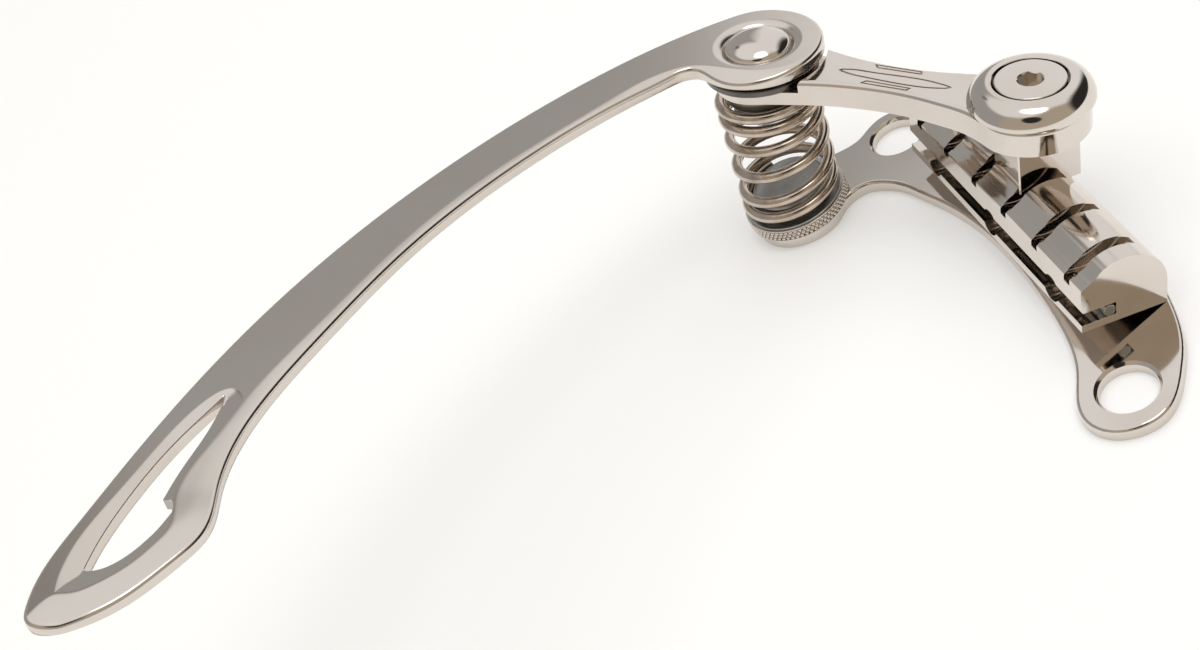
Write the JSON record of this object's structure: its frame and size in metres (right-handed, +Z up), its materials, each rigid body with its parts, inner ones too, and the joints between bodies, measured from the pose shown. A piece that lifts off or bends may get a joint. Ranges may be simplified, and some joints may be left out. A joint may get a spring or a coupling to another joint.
{
  "type": "vibrato tailpiece",
  "caption": "Guitar vibrato tailpiece: stud-mounted base plate, knife-edge string bar, lever on a coil spring with an adjuster wheel, and a long swinging arm with an open leaf-shaped handle.",
  "frame": {"origin": "midway between the two stud holes, on the underside of the base plate", "axes": "+Z up out of the instrument's top, +X towards the tail, -X towards the bridge, Y along the line of the stud holes with the spring on the +Y side"},
  "size_m": [0.1749, 0.101, 0.0741],
  "materials": {
    "polished_nickel": "polished and nickel plated, mirror bright with a warm tint",
    "nickel_spring_wire": "drawn spring wire, nickel plated",
    "hardened_steel": "ground and hardened",
    "turned_steel": "turned, nickel plated",
    "bushing_bronze": "turned bearing bronze"
  },
  "bodies": {
    "base": {"base_plate": "polished_nickel", "spring_post": "turned_steel", "knife_bearing": "hardened_steel", "spring": "nickel_spring_wire"},
    "seat": {"spring_seat": "polished_nickel"},
    "wheel": {"adjuster_wheel": "polished_nickel"},
    "tilt": {"string_holder": "polished_nickel", "knife_insert": "hardened_steel", "ball_end_rod": "turned_steel", "rod_set_screws": "turned_steel", "pedestal_block": "polished_nickel", "pedestal_dowels": "turned_steel", "lever": "polished_nickel", "spring_boss": "turned_steel", "knob_ring": "polished_nickel", "clamp_bolt": "polished_nickel", "clamp_lock_washer": "turned_steel", "arm_pivot_bolt": "polished_nickel", "arm_lower_washer": "turned_steel", "arm_wave_washer": "turned_steel", "arm_lock_nut": "turned_steel"},
    "arm": {"arm": "polished_nickel", "arm_bushing": "bushing_bronze"}
  },
  "joints": [
    {"name": "holder_tilt", "type": "hinge", "parent": "base", "child": "tilt", "pos_m": [0.01395, 0, 0.0019], "axis": [0, -1, 0], "range_deg": [-2, 15], "stiffness_Nm_per_rad": 12, "deforming": ["spring"]},
    {"name": "arm_swing", "type": "hinge", "parent": "tilt", "child": "arm", "pos_m": [-0.01623, 0.03982, 0.03687], "axis": [0.2605, 0, 0.9655], "range_deg": [-170, 95]},
    {"name": "seat_rise", "type": "slide", "parent": "base", "child": "seat", "axis": [0, 0, 1], "range_m": [0, 0.00125], "deforming": ["spring"]},
    {"name": "wheel_turn", "type": "hinge", "parent": "seat", "child": "wheel", "pos_m": [-0.0226, 0.03905, 0.0038], "axis": [0, 0, 1], "range_deg": [0, 360]}
  ],
  "couplings": [
    {"joint": "wheel_turn", "follows": "seat_rise", "rad_per_m": 5026.5}
  ]
}
